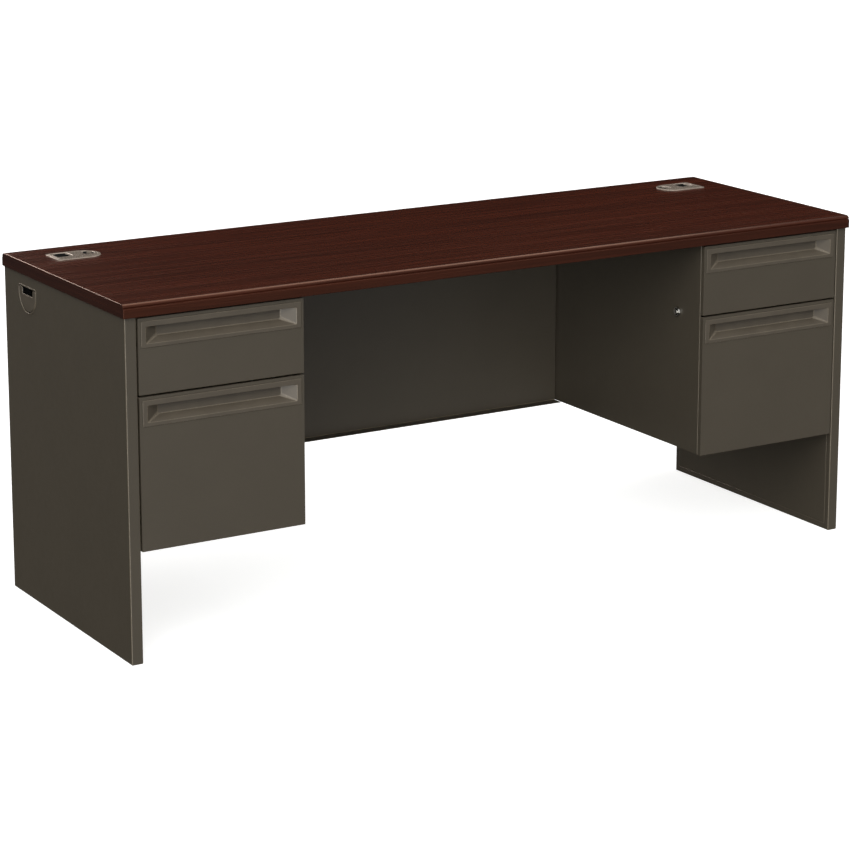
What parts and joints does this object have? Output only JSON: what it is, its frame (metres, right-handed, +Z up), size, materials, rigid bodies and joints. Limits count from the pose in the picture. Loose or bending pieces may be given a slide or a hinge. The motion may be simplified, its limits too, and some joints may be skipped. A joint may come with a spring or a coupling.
{
  "type": "kneespace office desk",
  "caption": "Kneespace teacher desk with a laminate worktop, steel end panels, hanging pedestals with box and file drawers, cable grommets and drawer locks.",
  "frame": {"origin": "on the floor, under the middle of the worktop", "axes": "+X to the right of a person facing the drawers, +Y towards the back, +Z up; the drawers open towards -Y"},
  "size_m": [1.8288, 0.6096, 0.7511],
  "materials": {
    "laminate_top": "satin dark mahogany wood-grain laminate",
    "body_steel": "fine-texture charcoal powder coat",
    "tray_steel": "smooth charcoal paint",
    "body_plastic": "moulded charcoal plastic",
    "grommet_pewter": "satin pewter",
    "slide_zinc": "bright zinc plate",
    "lock_chrome": "polished"
  },
  "bodies": {
    "root": {"worktop": "laminate_top", "modesty_panel": "body_steel", "side_grommet_sleeve": "body_plastic", "left_end_panel": "body_steel", "left_end_liner": "body_steel", "left_pedestal_wall": "body_steel", "left_pedestal_bottom": "body_steel", "left_pedestal_back": "body_steel", "left_top_rail": "body_steel", "left_grommet_sleeve": "grommet_pewter", "left_lock_housing": "lock_chrome", "left_box_knee_cabinet_rail": "slide_zinc", "left_box_wall_cabinet_rail": "slide_zinc", "left_file_knee_cabinet_rail": "slide_zinc", "left_file_wall_cabinet_rail": "slide_zinc", "right_end_panel": "body_steel", "right_end_liner": "body_steel", "right_pedestal_wall": "body_steel", "right_pedestal_bottom": "body_steel", "right_pedestal_back": "body_steel", "right_top_rail": "body_steel", "right_grommet_sleeve": "grommet_pewter", "right_lock_housing": "lock_chrome", "right_box_knee_cabinet_rail": "slide_zinc", "right_box_wall_cabinet_rail": "slide_zinc", "right_file_knee_cabinet_rail": "slide_zinc", "right_file_wall_cabinet_rail": "slide_zinc"},
    "left_grommet_cap": {"left_grommet_cap": "grommet_pewter"},
    "left_box_drawer": {"left_box_drawer_front": "body_steel", "left_box_drawer_pull": "body_plastic", "left_box_drawer_tray": "tray_steel", "left_box_knee_drawer_rail": "slide_zinc", "left_box_wall_drawer_rail": "slide_zinc"},
    "left_file_drawer": {"left_file_drawer_front": "body_steel", "left_file_drawer_pull": "body_plastic", "left_file_drawer_tray": "tray_steel", "left_file_knee_drawer_rail": "slide_zinc", "left_file_wall_drawer_rail": "slide_zinc"},
    "left_file_knee_middle_rail": {"left_file_knee_middle_rail": "slide_zinc"},
    "left_file_wall_middle_rail": {"left_file_wall_middle_rail": "slide_zinc"},
    "left_lock_plug": {"left_lock_plug": "lock_chrome", "left_lock_cam": "slide_zinc"},
    "left_lock_bar": {"left_lock_bar": "slide_zinc"},
    "right_grommet_cap": {"right_grommet_cap": "grommet_pewter"},
    "right_box_drawer": {"right_box_drawer_front": "body_steel", "right_box_drawer_pull": "body_plastic", "right_box_drawer_tray": "tray_steel", "right_box_knee_drawer_rail": "slide_zinc", "right_box_wall_drawer_rail": "slide_zinc"},
    "right_file_drawer": {"right_file_drawer_front": "body_steel", "right_file_drawer_pull": "body_plastic", "right_file_drawer_tray": "tray_steel", "right_file_knee_drawer_rail": "slide_zinc", "right_file_wall_drawer_rail": "slide_zinc"},
    "right_file_knee_middle_rail": {"right_file_knee_middle_rail": "slide_zinc"},
    "right_file_wall_middle_rail": {"right_file_wall_middle_rail": "slide_zinc"},
    "right_lock_plug": {"right_lock_plug": "lock_chrome", "right_lock_cam": "slide_zinc"},
    "right_lock_bar": {"right_lock_bar": "slide_zinc"},
    "side_grommet_cover": {"side_grommet_cover": "body_plastic"}
  },
  "joints": [
    {"name": "left_grommet_cap_lift", "type": "slide", "parent": "root", "child": "left_grommet_cap", "axis": [0, 0, 1], "range_m": [0, 0.06]},
    {"name": "left_box_drawer_slide", "type": "slide", "parent": "root", "child": "left_box_drawer", "axis": [0, -1, 0], "range_m": [0, 0.3]},
    {"name": "left_file_drawer_slide", "type": "slide", "parent": "root", "child": "left_file_drawer", "axis": [0, -1, 0], "range_m": [0, 0.48]},
    {"name": "left_file_knee_middle_rail_slide", "type": "slide", "parent": "root", "child": "left_file_knee_middle_rail", "axis": [0, -1, 0], "range_m": [0, 0.24]},
    {"name": "left_file_wall_middle_rail_slide", "type": "slide", "parent": "root", "child": "left_file_wall_middle_rail", "axis": [0, -1, 0], "range_m": [0, 0.24]},
    {"name": "left_lock_turn", "type": "hinge", "parent": "root", "child": "left_lock_plug", "pos_m": [-0.5075, -0.204, 0.552], "axis": [1, 0, 0], "range_deg": [0, 90]},
    {"name": "left_lock_bar_slide", "type": "slide", "parent": "root", "child": "left_lock_bar", "axis": [0, 1, 0], "range_m": [0, 0.012]},
    {"name": "right_grommet_cap_lift", "type": "slide", "parent": "root", "child": "right_grommet_cap", "axis": [0, 0, 1], "range_m": [0, 0.06]},
    {"name": "right_box_drawer_slide", "type": "slide", "parent": "root", "child": "right_box_drawer", "axis": [0, -1, 0], "range_m": [0, 0.3]},
    {"name": "right_file_drawer_slide", "type": "slide", "parent": "root", "child": "right_file_drawer", "axis": [0, -1, 0], "range_m": [0, 0.48]},
    {"name": "right_file_knee_middle_rail_slide", "type": "slide", "parent": "root", "child": "right_file_knee_middle_rail", "axis": [0, -1, 0], "range_m": [0, 0.24]},
    {"name": "right_file_wall_middle_rail_slide", "type": "slide", "parent": "root", "child": "right_file_wall_middle_rail", "axis": [0, -1, 0], "range_m": [0, 0.24]},
    {"name": "right_lock_turn", "type": "hinge", "parent": "root", "child": "right_lock_plug", "pos_m": [0.5075, -0.204, 0.552], "axis": [1, 0, 0], "range_deg": [0, 90]},
    {"name": "right_lock_bar_slide", "type": "slide", "parent": "root", "child": "right_lock_bar", "axis": [0, 1, 0], "range_m": [0, 0.012]},
    {"name": "side_grommet_cover_pull", "type": "slide", "parent": "root", "child": "side_grommet_cover", "axis": [-1, 0, 0], "range_m": [0, 0.04]}
  ],
  "couplings": [
    {"joint": "left_file_knee_middle_rail_slide", "follows": "left_file_drawer_slide", "ratio": 0.5},
    {"joint": "left_file_wall_middle_rail_slide", "follows": "left_file_drawer_slide", "ratio": 0.5},
    {"joint": "left_lock_turn", "follows": "left_lock_bar_slide", "rad_per_m": 130.9},
    {"joint": "right_file_knee_middle_rail_slide", "follows": "right_file_drawer_slide", "ratio": 0.5},
    {"joint": "right_file_wall_middle_rail_slide", "follows": "right_file_drawer_slide", "ratio": 0.5},
    {"joint": "right_lock_turn", "follows": "right_lock_bar_slide", "rad_per_m": 130.9}
  ]
}
